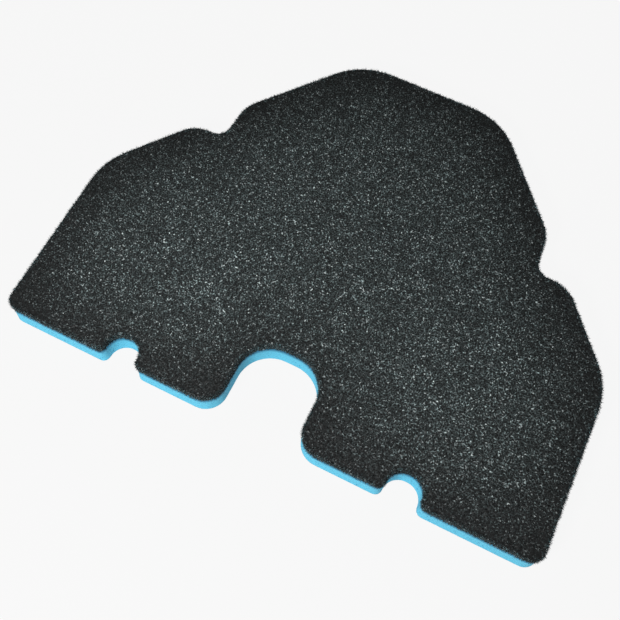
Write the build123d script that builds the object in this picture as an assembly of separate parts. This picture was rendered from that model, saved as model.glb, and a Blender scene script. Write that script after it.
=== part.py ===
from build123d import *
import os

# Flat two-layer foam filter pad, die-cut to a mirror-symmetric outline, in millimetres.
#
# A coarse dark open-cell layer lies on a finer blue layer. Between them an open net of
# adhesive holds the two together. The pad lies flat: +Z goes from the blue face to the dark
# face, and +Y goes from the straight front edge to the back. The origin is the centre of the
# bounding box on the bottom face.

# Layers
LOWER_THICKNESS = 10.0
UPPER_THICKNESS = 5.0

# Outline: straight front edge, from corner to corner, and overall depth
FRONT_WIDTH = 250.0
DEPTH = 197.0
FRONT_CORNER_R = 5.5

# Wide U-shaped notch in the middle of the front edge
CENTRE_NOTCH_WIDTH = 37.5
CENTRE_NOTCH_DEPTH = 36.5
CENTRE_NOTCH_INNER_R = 16.0
CENTRE_NOTCH_MOUTH_R = 10.0

# Small round notch in the front edge, one on each side
SMALL_NOTCH_OFFSET = 66.5
SMALL_NOTCH_WIDTH = 16.0
SMALL_NOTCH_DEPTH = 11.0
SMALL_NOTCH_INNER_R = 7.7
SMALL_NOTCH_MOUTH_R = 3.0

# Corners of the right-hand side, before rounding: x and y from the middle of the front edge
WING_TIP = (126.5, 84.0)
WING_TIP_R = 35.0
SIDE_NOTCH_OUTER = (97.0, 122.5)
SIDE_NOTCH_OUTER_R = 15.0
SIDE_NOTCH_INNER = (81.5, 122.5)
SIDE_NOTCH_INNER_R = 6.5
SHOULDER = (80.0, 144.5)
SHOULDER_R = 17.0
TOP_CORNER = (38.5, DEPTH)
TOP_CORNER_R = 34.0

# Adhesive net between the layers: a thin sheet with square openings, sunk into the upper layer
NET_THICKNESS = 0.2
NET_EDGE_MARGIN = 3.0
NET_PITCH = 15.0
NET_STRAND_WIDTH = 3.0
NET_RIM_WIDTH = 2.0

# Corner and radius pairs of the right half, from the middle of the front edge round to the top
RIGHT_HALF = [
    ((CENTRE_NOTCH_WIDTH / 2, CENTRE_NOTCH_DEPTH), CENTRE_NOTCH_INNER_R),
    ((CENTRE_NOTCH_WIDTH / 2, 0), CENTRE_NOTCH_MOUTH_R),
    ((SMALL_NOTCH_OFFSET - SMALL_NOTCH_WIDTH / 2, 0), SMALL_NOTCH_MOUTH_R),
    ((SMALL_NOTCH_OFFSET - SMALL_NOTCH_WIDTH / 2, SMALL_NOTCH_DEPTH), SMALL_NOTCH_INNER_R),
    ((SMALL_NOTCH_OFFSET + SMALL_NOTCH_WIDTH / 2, SMALL_NOTCH_DEPTH), SMALL_NOTCH_INNER_R),
    ((SMALL_NOTCH_OFFSET + SMALL_NOTCH_WIDTH / 2, 0), SMALL_NOTCH_MOUTH_R),
    ((FRONT_WIDTH / 2, 0), FRONT_CORNER_R),
    (WING_TIP, WING_TIP_R),
    (SIDE_NOTCH_OUTER, SIDE_NOTCH_OUTER_R),
    (SIDE_NOTCH_INNER, SIDE_NOTCH_INNER_R),
    (SHOULDER, SHOULDER_R),
    (TOP_CORNER, TOP_CORNER_R),
]


def pad_outline():
    """The die-cut outline as a face on the XY plane, centred on its bounding box."""
    left_half = [((-x, y), radius) for (x, y), radius in reversed(RIGHT_HALF)]
    corners = RIGHT_HALF + left_half
    points = [point for point, radius in corners]
    radii = [radius for point, radius in corners]
    wire = FilletPolyline(*points, radius=radii, close=True)
    return Pos(0, -DEPTH / 2) * make_face(wire)


def slab(face, bottom, thickness):
    return extrude(Pos(0, 0, bottom) * face, amount=thickness)


def net_openings(area):
    """Square openings on a grid, kept where the whole opening and its rim lie inside the area."""
    side = NET_PITCH - NET_STRAND_WIDTH
    half = side / 2 + NET_RIM_WIDTH
    box = area.bounding_box()
    columns = int(box.max.X // NET_PITCH)
    rows = int(box.max.Y // NET_PITCH)
    openings = []
    for column in range(-columns, columns + 1):
        for row in range(-rows, rows + 1):
            x, y = column * NET_PITCH, row * NET_PITCH
            rim_corners = [(x + i * half, y + j * half, 0) for i in (-1, 1) for j in (-1, 1)]
            if all(area.is_inside(corner) for corner in rim_corners):
                openings.append(Pos(x, y) * Rectangle(side, side))
    return openings


def build():
    outline = pad_outline()
    net_area = offset(outline, amount=-NET_EDGE_MARGIN)
    net_face = net_area - net_openings(net_area.face())

    lower = slab(outline, 0, LOWER_THICKNESS)
    net = slab(net_face, LOWER_THICKNESS, NET_THICKNESS)
    recess = slab(net_area, LOWER_THICKNESS, NET_THICKNESS)
    upper = slab(outline, LOWER_THICKNESS, UPPER_THICKNESS) - recess
    return {"lower_foam": lower, "bond_net": net, "upper_foam": upper}


os.makedirs("parts", exist_ok=True)
for name, shape in build().items():
    export_step(shape, f"parts/{name}.step")
    size = shape.bounding_box().size
    print(f"{name}: {size.X:.1f} x {size.Y:.1f} x {size.Z:.1f} mm, {shape.volume / 1000:.1f} cm3")
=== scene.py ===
"""Looks of a flat two-layer foam filter pad: open-celled charcoal foam on finer blue foam.

The frame gives the die-cut outline and the layers' heights. Each layer is rebuilt as one closed
mesh whose cut faces are covered with foam cells: every cell is a pit, and the ridges between
the pits are the foam's struts.
"""

import math
from collections import namedtuple

import bpy
import numpy as np
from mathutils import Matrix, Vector
from mathutils.geometry import delaunay_2d_cdt


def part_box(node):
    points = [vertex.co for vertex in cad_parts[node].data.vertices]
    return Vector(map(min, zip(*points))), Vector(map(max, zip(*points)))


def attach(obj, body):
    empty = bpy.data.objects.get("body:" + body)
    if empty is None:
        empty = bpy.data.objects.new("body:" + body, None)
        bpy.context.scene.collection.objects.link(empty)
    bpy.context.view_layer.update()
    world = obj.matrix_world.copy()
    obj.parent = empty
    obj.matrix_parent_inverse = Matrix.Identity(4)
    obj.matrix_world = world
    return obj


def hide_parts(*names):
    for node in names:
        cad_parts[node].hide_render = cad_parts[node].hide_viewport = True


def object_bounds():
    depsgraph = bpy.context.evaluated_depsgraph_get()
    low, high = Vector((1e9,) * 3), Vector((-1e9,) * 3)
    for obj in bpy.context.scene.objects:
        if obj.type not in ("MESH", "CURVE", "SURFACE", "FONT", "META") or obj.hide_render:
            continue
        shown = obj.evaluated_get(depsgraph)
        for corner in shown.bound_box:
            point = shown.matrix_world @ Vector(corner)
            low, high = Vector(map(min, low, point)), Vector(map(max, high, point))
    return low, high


MM = 0.001
SEED = 7

# How hollow the die-cut wall is at its middle, and how far the glued rims fray inwards
WALL_HOLLOW = 0.35 * MM
RIM_FRAY = 0.25 * MM

# Rows of an even honeycomb grid are this share of its spacing apart
ROW_STEP = math.sqrt(3) / 2

# Cells inside a face keep this share of the spacing clear of its edge
EDGE_CLEARANCE = 0.6

# Loose strut ends that fray the charcoal wall: how many, how long, how thick and how deep rooted,
# how much they lean, how they gather towards the top, and how brightly they are lit, a painted
# light level that stands in for the share of foam around them in the painted edge shade
LOOSE_ENDS = 36000
END_LENGTH = 1.5 * MM
END_RADIUS = 0.12 * MM
END_ROOT = 0.3 * MM
END_LEAN = 0.5
END_GATHER = 1.5
END_LIGHT = 0.66

# How far the soft pad's corners lie out of square, sideways and front to back
SKEW_X = 0.58 * MM
SKEW_Y = 1.77 * MM

# How far light is taken to spread sideways through the foam: the reach of the painted shade that
# darkens the charcoal near its edges
SCATTER_REACH = 19 * MM

# How far down the blue wall the painted shade under the charcoal layer reaches
JOINT_SHADE = 3 * MM

# A foam's cell size, how far its wall stands out from the outline, and the shape of its surface.
# The jitter is a share of the spacing, and stubs is the share of strut junctions that stick out.
Foam = namedtuple(
    "Foam", "spacing jitter proud edge_radius pit_depth edge_pit_depth sway stubs stub_height")

CHARCOAL = Foam(
    spacing=1.25 * MM, jitter=0.42, proud=-0.15 * MM, edge_radius=0.3 * MM,
    pit_depth=(0.15 * MM, 0.85 * MM), edge_pit_depth=(0.10 * MM, 0.30 * MM),
    sway=(-0.25 * MM, 0.20 * MM), stubs=0.05, stub_height=(0.20 * MM, 0.40 * MM))
BLUE = Foam(
    spacing=1.4 * MM, jitter=0.36, proud=0.22 * MM, edge_radius=0.2 * MM,
    pit_depth=(0.04 * MM, 0.14 * MM), edge_pit_depth=(0.02 * MM, 0.08 * MM),
    sway=(-0.03 * MM, 0.02 * MM), stubs=0.0, stub_height=(0.0, 0.0))

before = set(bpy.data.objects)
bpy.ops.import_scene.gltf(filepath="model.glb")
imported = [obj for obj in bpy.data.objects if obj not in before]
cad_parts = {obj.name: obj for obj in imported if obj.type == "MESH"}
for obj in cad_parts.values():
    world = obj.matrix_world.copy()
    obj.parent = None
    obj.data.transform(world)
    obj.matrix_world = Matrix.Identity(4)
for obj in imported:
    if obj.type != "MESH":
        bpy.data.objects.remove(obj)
cad_low, cad_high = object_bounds()


# ---------------------------------------------------------------- outline and base surface

def rim_loop(cad_node, height):
    """The outline of the node's flat face at that height.

    The points are in order, anticlockwise from above.
    """
    same_height = 1e-6
    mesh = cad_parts[cad_node].data
    open_edges = set()
    for polygon in mesh.polygons:
        corners = [mesh.vertices[i].co for i in polygon.vertices]
        if any(abs(corner.z - height) > same_height for corner in corners):
            continue
        keys = [(round(corner.x, 7), round(corner.y, 7)) for corner in corners]
        for a, b in zip(keys, keys[1:] + keys[:1]):
            if (b, a) in open_edges:
                open_edges.remove((b, a))
            else:
                open_edges.add((a, b))
    following = dict(open_edges)
    loop = [min(following)]
    while following[loop[-1]] != loop[0]:
        loop.append(following[loop[-1]])
    return np.array(loop)


class Outline:
    """A closed outline that gives points at even steps along it, and distances to it."""

    def __init__(self, loop):
        self.loop = loop
        self.closed = np.vstack([loop, loop[:1]])
        steps = np.hypot(*np.diff(self.closed, axis=0).T)
        self.along = np.concatenate([[0], np.cumsum(steps)])
        self.length = self.along[-1]

    def at(self, distance):
        distance = np.mod(distance, self.length)
        x = np.interp(distance, self.along, self.closed[:, 0])
        y = np.interp(distance, self.along, self.closed[:, 1])
        return np.column_stack([x, y])

    def outward(self, distance, reach):
        """Unit outward directions, from the chord over reach to each side."""
        chord = self.at(distance + reach) - self.at(distance - reach)
        chord /= np.linalg.norm(chord, axis=1)[:, None]
        return np.column_stack([chord[:, 1], -chord[:, 0]])

    def depth_inside(self, points, chunk=2000):
        """Distance from each point to the outline, negative for a point outside."""
        a, b = self.closed[:-1], self.closed[1:]
        edge = b - a
        length_squared = (edge ** 2).sum(1)
        depths = []
        for start in range(0, len(points), chunk):
            p = points[start:start + chunk, None]
            share = np.clip(((p - a) * edge).sum(2) / length_squared, 0, 1)
            gap = p - (a + share[..., None] * edge)
            distance = np.sqrt((gap ** 2).sum(2).min(1))
            spans = (a[:, 1] > p[..., 1]) != (b[:, 1] > p[..., 1])
            height = np.where(edge[:, 1] == 0, 1, edge[:, 1])
            crossing = a[:, 0] + (p[..., 1] - a[:, 1]) / height * edge[:, 0]
            inside = (spans & (p[..., 0] < crossing)).sum(1) % 2 == 1
            depths.append(np.where(inside, distance, -distance))
        return np.concatenate(depths)


def scattered_points(outline, spacing, jitter, rng):
    """Points of an uneven honeycomb grid that lie clear inside the outline."""
    low, high = outline.loop.min(0), outline.loop.max(0)
    rows = np.arange(low[1], high[1], spacing * ROW_STEP)
    columns = np.arange(low[0] - spacing, high[0] + spacing, spacing)
    x, y = np.meshgrid(columns, rows)
    x = x + (np.arange(len(rows)) % 2)[:, None] * spacing / 2
    points = np.column_stack([x.ravel(), y.ravel()])
    points += rng.uniform(-jitter, jitter, points.shape) * spacing
    return points[outline.depth_inside(points) > EDGE_CLEARANCE * spacing]


def triangulated(ring, inner):
    """Triangles over the ring's inside that use all the points, numbered ring first, facing up."""
    points = [Vector(point) for point in np.vstack([ring, inner])]
    count = len(ring)
    edges = [(i, (i + 1) % count) for i in range(count)]
    inside_only, same_point = 1, 1e-9
    made = delaunay_2d_cdt(points, edges, [], inside_only, same_point)
    faces, source_points = made[2], made[3]
    number = [sources[0] for sources in source_points]
    return np.array([[number[i] for i in face] for face in faces])


def wall_inset(foam, drop):
    """How far the wall lies inside the outline, at that distance from the foam's outer face.

    The edge is chamfered. The die squeezes the foam as it cuts, so the wall below is hollow, most
    at half the pad's height.
    """
    share = drop / (cad_high.z - cad_low.z)
    chamfer = np.maximum(foam.edge_radius - drop, 0)
    return WALL_HOLLOW * 4 * share * (1 - share) + chamfer - foam.proud


def edge_drops(foam, height):
    """The wall's rows, as distances from the outer face down to the glued back."""
    rows = round((height - foam.edge_radius) / (foam.spacing * ROW_STEP))
    return np.append(0, np.linspace(foam.edge_radius, height, rows + 1))


def between_rings(upper, lower, count, upper_is_half_step_on):
    """Triangles between two rings of the same count, one of them half a step further on."""
    i = np.arange(count)
    j = (i + 1) % count
    if upper_is_half_step_on:
        return np.vstack([
            np.column_stack([upper + i, lower + i, lower + j]),
            np.column_stack([upper + i, lower + j, upper + j]),
        ])
    return np.vstack([
        np.column_stack([upper + i, lower + i, upper + j]),
        np.column_stack([upper + j, lower + i, lower + j]),
    ])


def slab_surface(outline, height, foam, rng):
    """A closed slab, its back at 0 and its face at the height.

    Returns the vertices, how far along the outline each wall vertex is, the triangles of the face
    and walls, those of the flat back, and the numbers of the back's rim vertices.
    """
    count = round(outline.length / foam.spacing)
    step = outline.length / count
    drops = edge_drops(foam, height)
    last = len(drops) - 1
    rings, distances = [], []
    for row, drop in enumerate(drops):
        loose = 0 if row in (0, 1, last) else foam.jitter * step
        fray = RIM_FRAY if row == last else 0
        distance = (np.arange(count) + (row % 2) / 2) * step + rng.uniform(-loose, loose, count)
        rise = rng.uniform(-loose, loose, count)
        inward = wall_inset(foam, drop) + rng.uniform(0, fray, count)
        xy = outline.at(distance) - inward[:, None] * outline.outward(distance, step)
        rings.append(np.column_stack([xy, height - drop + rise]))
        distances.append(distance)
    inner = scattered_points(Outline(rings[0][:, :2]), foam.spacing, foam.jitter, rng)
    face = triangulated(rings[0][:, :2], inner)
    back = triangulated(rings[-1][:, :2], np.empty((0, 2)))

    wall_count = count * len(rings)
    face = np.where(face >= count, face - count + wall_count, face)
    walls = [
        between_rings(row * count, (row + 1) * count, count, row % 2 == 1)
        for row in range(len(rings) - 1)
    ]
    inner = np.column_stack([inner, np.full(len(inner), height)])
    vertices = np.vstack([*rings, inner])
    along = np.concatenate([*distances, np.zeros(len(inner))])
    back = back[:, ::-1] + wall_count - count
    rim = np.arange(wall_count - count, wall_count)
    return vertices, along, np.vstack([face, *walls]), back, rim


# ---------------------------------------------------------------- foam cells

def vertex_normals(vertices, triangles):
    a, b, c = (vertices[triangles[:, i]] for i in range(3))
    facing = np.cross(b - a, c - a)
    normals = np.zeros_like(vertices)
    for i in range(3):
        np.add.at(normals, triangles[:, i], facing)
    return normals / np.linalg.norm(normals, axis=1)[:, None]


def cell_faces(triangles, first_junction):
    """Faces from each triangle's corners to the junctions in it and in its neighbours."""
    first = triangles.ravel()
    second = np.roll(triangles, -1, axis=1).ravel()
    owner = np.repeat(np.arange(len(triangles)), 3) + first_junction
    across = dict(zip(zip(second.tolist(), first.tolist()), owner.tolist()))
    faces = []
    for a, b, near in zip(first.tolist(), second.tolist(), owner.tolist()):
        far = across.get((a, b))
        faces.append((a, b, near) if far is None else (a, far, near))
    return np.array(faces)


def displacement(vertices, triangles, rim, foam, height, rng):
    """How far each pit sinks below the surface, and how far each strut junction stands off it.

    The wall's first two rows, at the edge of the face, have shallower pits of their own.
    """
    just_below_edge = 1.1 * foam.edge_radius
    on_edge = vertices[:, 2] > height - just_below_edge
    on_edge &= np.arange(len(vertices)) < rim[-1]
    sink = np.where(
        on_edge, rng.uniform(*foam.edge_pit_depth, len(vertices)),
        rng.uniform(*foam.pit_depth, len(vertices)))
    sink[rim] = 0
    stand = rng.uniform(*foam.sway, len(triangles))
    stubs = rng.random(len(triangles)) < foam.stubs
    stand[stubs] = rng.uniform(*foam.stub_height, stubs.sum())
    return sink, stand


def around(distance, length):
    """The distance as a step of at most half the length, forwards or backwards."""
    return np.mod(distance + length / 2, length) - length / 2


def bake_layout(places, along, faces, cell_count, outline, height, edge_radius):
    """Corner coordinates that lay the face flat, and the wall beyond it in strips side by side.

    The glued back is never seen, so it is shrunk into a small corner.
    """
    span, margin, strips, back_scale = 256 * MM, 2 * MM, 4, 0.015
    corner = places[faces]
    flat = corner[:, :, :2] - outline.loop.min(0) + margin
    depth = np.ptp(outline.loop[:, 1])

    reach = along[faces]
    reach = reach[:, :1] + around(reach - reach[:, :1], outline.length)
    middle = reach.mean(1)
    reach -= (middle // outline.length * outline.length)[:, None]
    strip = reach.mean(1) // (outline.length / strips)
    start = strip * outline.length / strips
    base = depth + 2 * margin + strip * (height + margin / 2)
    wall = np.stack([
        reach - start[:, None] + margin, base[:, None] + height - corner[:, :, 2]], axis=2)

    back = np.arange(len(faces)) >= cell_count
    upright = (corner[:, :, 2].mean(1) < height - edge_radius / 2) & ~back
    flat[upright] = wall[upright]
    flat[back] = flat[back] * back_scale + np.array([margin, span - 2 * margin])
    return flat / span


def surroundings(outline, reach):
    """A function that says how much of what lies around each point is foam.

    It is 1 deep inside the pad and about 0.5 on a straight edge.
    """
    border = 3 * reach
    low = outline.loop.min(0) - border
    columns, rows = np.ceil((np.ptp(outline.loop, axis=0) + 2 * border) / MM).astype(int)
    x, y = np.meshgrid(low[0] + np.arange(columns) * MM, low[1] + np.arange(rows) * MM)
    inside = outline.depth_inside(np.column_stack([x.ravel(), y.ravel()])) > 0
    share = inside.reshape(rows, columns).astype(float)
    offsets = np.arange(-border, border, MM)
    weights = np.exp(-0.5 * (offsets / reach) ** 2)
    weights /= weights.sum()
    for axis in (0, 1):
        share = np.apply_along_axis(np.convolve, axis, share, weights, mode="same")

    def at(points):
        column, row = np.rint((points[:, :2] - low) / MM).astype(int).T
        return share[row, column]

    return at


def mesh_piece(name, vertices, faces, layout, attributes):
    mesh = bpy.data.meshes.new(name)
    mesh.vertices.add(len(vertices))
    mesh.vertices.foreach_set("co", vertices.astype(np.float32).ravel())
    mesh.loops.add(len(faces) * 3)
    mesh.loops.foreach_set("vertex_index", faces.astype(np.int32).ravel())
    mesh.polygons.add(len(faces))
    mesh.polygons.foreach_set("loop_start", np.arange(0, len(faces) * 3, 3, dtype=np.int32))
    mesh.update(calc_edges=True)
    mesh.uv_layers.new(name="OFBake").data.foreach_set("uv", layout.astype(np.float32).ravel())
    for attribute_name, values in attributes.items():
        attribute = mesh.attributes.new(attribute_name, "FLOAT", "POINT")
        attribute.data.foreach_set("value", values.astype(np.float32))
    mesh.validate()
    piece = bpy.data.objects.new(name, mesh)
    bpy.context.scene.collection.objects.link(piece)
    return piece


def skewed(points):
    """The points of a soft pad that lies slightly out of square."""
    across = points[:, 0] / cad_high.x
    back = points[:, 1] / cad_high.y
    return points - np.column_stack([SKEW_X * back, SKEW_Y * across * back, np.zeros(len(points))])


def foam_layer(name, outline, foam_around, back_height, face_height, foam, rng):
    """One foam sheet with its celled face at one height and its plain glued back at the other.

    Each face gets a pit at its corners and a strut junction in its middle, and the ridge between
    two neighbouring junctions is a strut.
    """
    height = abs(face_height - back_height)
    vertices, along, triangles, back, rim = slab_surface(outline, height, foam, rng)
    faces = np.vstack([cell_faces(triangles, len(vertices)), back])
    sink, stand = displacement(vertices, triangles, rim, foam, height, rng)
    normals = vertex_normals(vertices, triangles)
    middles = vertices[triangles].mean(1)
    pits = vertices - normals * sink[:, None]
    junctions = middles + normals[triangles].mean(1) * stand[:, None]
    points = np.vstack([pits, junctions])

    corners_along = along[triangles]
    middle_along = along[triangles[:, 0]] + around(
        corners_along - corners_along[:, :1], outline.length).mean(1)
    layout = bake_layout(
        np.vstack([vertices, middles]), np.concatenate([along, middle_along]), faces,
        len(faces) - len(back), outline, height, foam.edge_radius)

    strut = np.concatenate([np.zeros(len(vertices)), np.ones(len(triangles))])
    strut[rim] = 1
    wall = (np.arange(len(vertices)) <= rim[-1]).astype(float)
    attributes = {
        "strut": strut,
        "tone": rng.random(len(points)),
        "foam_around": foam_around(points),
        "wall": np.concatenate([wall, wall[triangles].mean(1)]),
    }
    if face_height < back_height:
        faces = faces[:, ::-1]
        layout = layout[:, ::-1]
        points[:, 2] *= -1
    points[:, 2] += back_height
    return mesh_piece(name, skewed(points), faces, layout, attributes)


def loose_ends(name, outline, low, high, foam, rng):
    """Thin three-sided spikes that stand out of the wall between two heights, most near the top.

    They stand in the open light, so they get less of the painted edge shade than the foam at an
    edge does: a fixed painted light level takes the place of the share of foam around them.
    """
    distance = rng.uniform(0, outline.length, LOOSE_ENDS)
    height = high - (high - low) * rng.random(LOOSE_ENDS) ** END_GATHER
    outward = outline.outward(distance, 0.5 * MM)
    inset = wall_inset(foam, high - height)
    root = np.column_stack([outline.at(distance) - inset[:, None] * outward, height])

    lean, tilt = rng.normal(0, END_LEAN, (2, LOOSE_ENDS))
    ahead = np.column_stack([-outward[:, 1], outward[:, 0]])
    direction = np.column_stack([outward + ahead * lean[:, None], tilt])
    direction /= np.linalg.norm(direction, axis=1)[:, None]
    side = np.cross(direction, (0, 0, 1))
    side /= np.linalg.norm(side, axis=1)[:, None]
    over = np.cross(side, direction)
    length = END_LENGTH * rng.random(LOOSE_ENDS)
    turn = rng.uniform(0, 2 * math.pi, LOOSE_ENDS)
    corners = []
    for third in range(3):
        angle = (turn + third * 2 * math.pi / 3)[:, None]
        across = np.cos(angle) * side + np.sin(angle) * over
        corners.append(root - END_ROOT * direction + END_RADIUS * across)
    corners.append(root + length[:, None] * direction)
    points = np.stack(corners, axis=1).reshape(-1, 3)

    first = np.arange(LOOSE_ENDS)[:, None, None] * 4
    faces = (first + np.array([(0, 1, 2), (1, 0, 3), (2, 1, 3), (0, 2, 3)])).reshape(-1, 3)
    cells = math.ceil(math.sqrt(LOOSE_ENDS))
    place = np.column_stack([np.arange(LOOSE_ENDS) % cells, np.arange(LOOSE_ENDS) // cells])
    within_cell = np.array([(0.2, 0.2), (0.8, 0.2), (0.5, 0.45), (0.5, 0.8)])
    layout = ((place[:, None] + within_cell) / cells).reshape(-1, 2)[faces]
    attributes = {
        "strut": np.ones(len(points)),
        "tone": np.repeat(rng.random(LOOSE_ENDS), 4),
        # A fixed painted light level in place of the share of foam around
        "foam_around": np.full(len(points), END_LIGHT),
        "wall": np.ones(len(points)),
    }
    return mesh_piece(name, skewed(points), faces, layout, attributes)


# ---------------------------------------------------------------- materials

def new_material(name):
    material = bpy.data.materials.new(name)
    material.use_nodes = True
    nodes = material.node_tree.nodes
    return material, material.node_tree, nodes["Principled BSDF"]


def node(tree, kind, **settings):
    made = tree.nodes.new(kind)
    for key, value in settings.items():
        setattr(made, key, value)
    return made


def attribute_value(tree, name):
    return node(tree, "ShaderNodeAttribute", attribute_name=name).outputs["Fac"]


def ramp(tree, value, low, high, out_low=0.0, out_high=1.0):
    made = node(tree, "ShaderNodeMapRange", interpolation_type="SMOOTHSTEP")
    tree.links.new(value, made.inputs["Value"])
    ends = {"From Min": low, "From Max": high, "To Min": out_low, "To Max": out_high}
    for key, number in ends.items():
        made.inputs[key].default_value = number
    return made.outputs["Result"]


def maths(tree, operation, *values):
    made = node(tree, "ShaderNodeMath", operation=operation)
    for socket, value in zip(made.inputs, values):
        if isinstance(value, (int, float)):
            socket.default_value = value
        else:
            tree.links.new(value, socket)
    return made.outputs["Value"]


def mixed_colour(tree, factor, first, second):
    made = node(tree, "ShaderNodeMix", data_type="RGBA")
    factor_in, a, b = made.inputs[0], made.inputs[6], made.inputs[7]
    for socket, value in ((factor_in, factor), (a, first), (b, second)):
        if isinstance(value, (int, float)):
            socket.default_value = value
        elif isinstance(value, tuple):
            socket.default_value = (*value, 1)
        else:
            tree.links.new(value, socket)
    return made.outputs[2]


def object_coordinates(tree):
    return node(tree, "ShaderNodeTexCoord").outputs["Object"]


def noise(tree, coordinates, scale):
    made = node(tree, "ShaderNodeTexNoise")
    tree.links.new(coordinates, made.inputs["Vector"])
    made.inputs["Scale"].default_value = scale
    return made.outputs["Fac"]


def voronoi(tree, coordinates, scale, feature, output):
    made = node(tree, "ShaderNodeTexVoronoi", feature=feature)
    tree.links.new(coordinates, made.inputs["Vector"])
    made.inputs["Scale"].default_value = scale
    return made.outputs[output]


def random_by_cell(tree, coordinates, scale):
    """An even random number from 0 to 1 for each small cell of space."""
    colour = voronoi(tree, coordinates, scale, "F1", "Color")
    split = node(tree, "ShaderNodeSeparateColor")
    tree.links.new(colour, split.inputs["Color"])
    return split.outputs["Red"]


def product(tree, *values):
    result = values[0]
    for value in values[1:]:
        result = maths(tree, "MULTIPLY", result, value)
    return result


def charcoal_foam_material():
    """Near-black cells with paler glossy struts. The cells are open holes in charcoal foam, and
    their darkness is partly the foam's own colour and partly painted shade of the cells' depth.

    The mesh gives the struts and a tone for each cell. The texture adds finer struts with painted
    shade in the finer cells between them, small painted glints that stand in for struts catching
    the light, and cloudy patches. The foam is also darker near an edge, a painted shade: light is
    taken to spread through the open cells and come out again, which it does less near an edge,
    where there is less foam around to send it back.
    """
    face_tint, wall_tint, glint_tint = (0.136, 0.178, 0.180), (0.10, 0.20, 0.22), (0.16, 0.18, 0.18)
    material, tree, shader = new_material("charcoal_foam")
    place = object_coordinates(tree)
    # Painted shade in the pits: the colour runs from a fifth in the pits to full on the ridges,
    # partly the foam's own colour and partly the shade of the cells' depth
    strut = ramp(tree, attribute_value(tree, "strut"), 0.3, 0.95, 0.2, 1.0)
    tone = maths(tree, "POWER", attribute_value(tree, "tone"), 2.0)
    tone = maths(tree, "MULTIPLY_ADD", tone, 1.5, 0.5)
    # Finer struts, with painted shade in the cells between them
    fine = voronoi(tree, place, 950, "DISTANCE_TO_EDGE", "Distance")
    fine = ramp(tree, fine, 0.03, 0.18, 1.0, 0.12)
    # Painted glints: a few small spots are made several times brighter, standing in for struts that
    # catch the light
    painted_glint = maths(tree, "POWER", random_by_cell(tree, place, 1700), 7.0)
    painted_glint = maths(tree, "MULTIPLY_ADD", painted_glint, 4.6, 0.40)
    cloud = ramp(tree, noise(tree, place, 60), 0.3, 0.7, 0.92, 1.08)
    # Painted shade near the edges: the colour is darker where less of the surroundings is foam
    painted_edge_shade = maths(tree, "POWER", attribute_value(tree, "foam_around"), 1.75)
    level = product(tree, strut, tone, fine, painted_glint, cloud, painted_edge_shade)
    tint = mixed_colour(tree, attribute_value(tree, "wall"), face_tint, wall_tint)
    # The painted glints get a tint of their own
    tint = mixed_colour(tree, ramp(tree, painted_glint, 2.2, 4.5), tint, glint_tint)
    colour = node(tree, "ShaderNodeVectorMath", operation="SCALE")
    tree.links.new(tint, colour.inputs[0])
    tree.links.new(level, colour.inputs["Scale"])
    tree.links.new(colour.outputs[0], shader.inputs["Base Color"])
    tree.links.new(ramp(tree, fine, 0, 1, 0.9, 0.5), shader.inputs["Roughness"])
    return material


def blue_foam_material(join_height):
    """Sky-blue fine-celled foam, darker in its pits and pores and just below the charcoal layer,
    all of it painted shade.
    """
    pit_shade_colour, strut_colour = (0.063, 0.366, 0.527), (0.092, 0.462, 0.643)
    pore_shade_colour, joint_shade_colour = (0.03, 0.24, 0.40), (0.025, 0.18, 0.30)
    material, tree, shader = new_material("blue_foam")
    place = object_coordinates(tree)
    # Painted shade in the pits: darker blue in the pits, full blue on the ridges
    strut = ramp(tree, attribute_value(tree, "strut"), 0.0, 0.9)
    colour = mixed_colour(tree, strut, pit_shade_colour, strut_colour)
    # Painted shade in the pores: darker blue in some small cells
    pore = ramp(tree, voronoi(tree, place, 900, "F1", "Distance"), 0.15, 0.55, 1.0, 0.0)
    pore = product(tree, pore, random_by_cell(tree, place, 900), attribute_value(tree, "tone"))
    colour = mixed_colour(tree, ramp(tree, pore, 0.05, 0.6), colour, pore_shade_colour)
    split = node(tree, "ShaderNodeSeparateXYZ")
    tree.links.new(place, split.inputs[0])
    # Painted shade: the blue darkens towards the joint, where the charcoal layer's rough edge
    # shades it
    shade = ramp(tree, split.outputs["Z"], join_height - JOINT_SHADE, join_height)
    colour = mixed_colour(tree, shade, colour, joint_shade_colour)
    tree.links.new(colour, shader.inputs["Base Color"])
    bump = node(tree, "ShaderNodeBump")
    bump.inputs["Strength"].default_value = 0.3
    bump.inputs["Distance"].default_value = 0.1 * MM
    fine = voronoi(tree, place, 1600, "DISTANCE_TO_EDGE", "Distance")
    tree.links.new(fine, bump.inputs["Height"])
    tree.links.new(bump.outputs["Normal"], shader.inputs["Normal"])
    shader.inputs["Roughness"].default_value = 0.85
    return material


def adhesive_material():
    """Milky hot-melt adhesive, hidden between the layers."""
    material, tree, shader = new_material("adhesive_net")
    place = object_coordinates(tree)
    colour = mixed_colour(tree, noise(tree, place, 400), (0.62, 0.60, 0.52), (0.80, 0.79, 0.73))
    tree.links.new(colour, shader.inputs["Base Color"])
    shader.inputs["Roughness"].default_value = 0.35
    return material


def floor_material():
    """Pale and softly lit from within, so that the pad's shadow on it stays faint.

    It is clear from below, so that the pad's underside can be seen.
    """
    material, tree, shader = new_material("pale_floor")
    shader.inputs["Base Color"].default_value = (0.003, 0.003, 0.003, 1)
    shader.inputs["Roughness"].default_value = 0.9
    shader.inputs["Emission Color"].default_value = (1, 1, 1, 1)
    shader.inputs["Emission Strength"].default_value = FLOOR_GLOW
    one_way = node(tree, "ShaderNodeMixShader")
    tree.links.new(node(tree, "ShaderNodeNewGeometry").outputs["Backfacing"], one_way.inputs[0])
    tree.links.new(shader.outputs[0], one_way.inputs[1])
    tree.links.new(node(tree, "ShaderNodeBsdfTransparent").outputs[0], one_way.inputs[2])
    tree.links.new(one_way.outputs[0], tree.nodes["Material Output"].inputs["Surface"])
    return material


# ---------------------------------------------------------------- pieces

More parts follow.
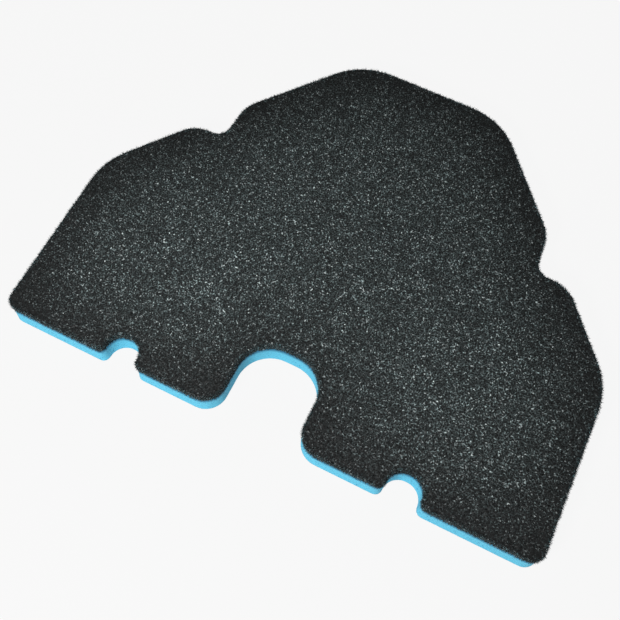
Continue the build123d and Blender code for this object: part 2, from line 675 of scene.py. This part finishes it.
def add_layers():
    outline = Outline(rim_loop("upper_foam", cad_high.z))
    foam_around = surroundings(outline, SCATTER_REACH)
    join_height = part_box("lower_foam")[1].z
    upper = foam_layer(
        "upper_foam_sheet", outline, foam_around, join_height, cad_high.z, CHARCOAL,
        np.random.default_rng(SEED))
    lower = foam_layer(
        "lower_foam_sheet", outline, foam_around, join_height, cad_low.z, BLUE,
        np.random.default_rng(SEED + 1))
    ends = loose_ends(
        "upper_foam_loose_ends", outline, join_height, cad_high.z, CHARCOAL,
        np.random.default_rng(SEED + 2))
    charcoal, blue = charcoal_foam_material(), blue_foam_material(join_height)
    looks = (
        (upper, "upper_foam", "charcoal_foam", charcoal),
        (lower, "lower_foam", "blue_foam", blue),
    )
    for piece, cad_node, slot, material in looks:
        piece.data.materials.append(material)
        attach(piece, "root")
        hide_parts(cad_node)
    ends.data.materials.append(charcoal)
    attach(ends, "root")


def dress_adhesive():
    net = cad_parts["bond_net"]
    net.material_slots[0].material = adhesive_material()


# ---------------------------------------------------------------- stage

CAMERA_AIM = Vector((-28.4, -27.5, 7.5)) * MM
CAMERA_DISTANCE = 388.4 * MM
CAMERA_AZIMUTH = math.radians(27.40)
CAMERA_ELEVATION = math.radians(62.97)
CAMERA_LENS = 48.41
CAMERA_SHIFT = 0.0645

# The floor lies just under the pad, so that the two faces never coincide
FLOOR_HALF = 3.0
FLOOR_GAP = 0.1 * MM
FLOOR_GLOW = 0.913

BACKDROP = 0.92

SOFTBOX_PLACE = Vector((-56, -370, 350)) * MM
SOFTBOX_AIM = Vector((-21, -40, 15)) * MM
SOFTBOX_SIZE = 100 * MM
SOFTBOX_POWER = 2.5


def add_camera():
    data = bpy.data.cameras.new("camera")
    data.lens = CAMERA_LENS
    data.sensor_width = 36
    data.shift_x = CAMERA_SHIFT
    data.shift_y = -CAMERA_SHIFT
    camera = bpy.data.objects.new("camera", data)
    back = Vector((
        math.sin(CAMERA_AZIMUTH) * math.cos(CAMERA_ELEVATION),
        -math.cos(CAMERA_AZIMUTH) * math.cos(CAMERA_ELEVATION),
        math.sin(CAMERA_ELEVATION),
    ))
    camera.location = CAMERA_AIM + back * CAMERA_DISTANCE
    camera.rotation_euler = (-back).to_track_quat("-Z", "Y").to_euler()
    data.clip_start = 10 * MM
    data.clip_end = 10
    bpy.context.scene.collection.objects.link(camera)
    bpy.context.scene.camera = camera


def add_floor():
    mesh = bpy.data.meshes.new("floor")
    signs = ((-1, -1), (1, -1), (1, 1), (-1, 1))
    corners = [(x * FLOOR_HALF, y * FLOOR_HALF, cad_low.z - FLOOR_GAP) for x, y in signs]
    mesh.from_pydata(corners, [], [(0, 1, 2, 3)])
    floor = bpy.data.objects.new("floor", mesh)
    floor.data.materials.append(floor_material())
    bpy.context.scene.collection.objects.link(floor)


def add_world():
    """Light that is strong at the horizon, most on the right, and dim overhead.

    The camera sees a plain white backdrop instead.
    """
    world = bpy.data.worlds.new("studio")
    bpy.context.scene.world = world
    world.use_nodes = True
    tree = world.node_tree
    direction = node(tree, "ShaderNodeTexCoord").outputs["Generated"]
    split = node(tree, "ShaderNodeSeparateXYZ")
    tree.links.new(direction, split.inputs[0])
    all_round = ramp(tree, split.outputs["Z"], 0.0, 0.26, 0.92, 0.12)
    from_right = ramp(tree, split.outputs["X"], 0.2, 1.0, 0.0, 2.4)
    from_right = product(tree, from_right, ramp(tree, split.outputs["Z"], 0.0, 0.15, 1.0, 0.0))
    lighting = maths(tree, "ADD", all_round, from_right)
    seen = node(tree, "ShaderNodeMix", data_type="FLOAT")
    tree.links.new(node(tree, "ShaderNodeLightPath").outputs["Is Camera Ray"], seen.inputs[0])
    tree.links.new(lighting, seen.inputs[2])
    seen.inputs[3].default_value = BACKDROP
    tree.links.new(seen.outputs[0], tree.nodes["Background"].inputs["Strength"])
    tree.nodes["Background"].inputs["Color"].default_value = (1, 1, 1, 1)


def add_softbox():
    """A small softbox close above the front edge, so that the light falls off to the back."""
    data = bpy.data.lights.new("softbox", "AREA")
    data.size = SOFTBOX_SIZE
    data.energy = SOFTBOX_POWER
    light = bpy.data.objects.new("softbox", data)
    light.location = SOFTBOX_PLACE
    light.rotation_euler = (SOFTBOX_AIM - SOFTBOX_PLACE).to_track_quat("-Z", "Y").to_euler()
    light.visible_camera = False
    bpy.context.scene.collection.objects.link(light)


add_camera()
add_floor()
add_world()
add_softbox()
bpy.context.scene.view_settings.view_transform = "Standard"
bpy.context.scene.view_settings.look = "None"
add_layers()
dress_adhesive()
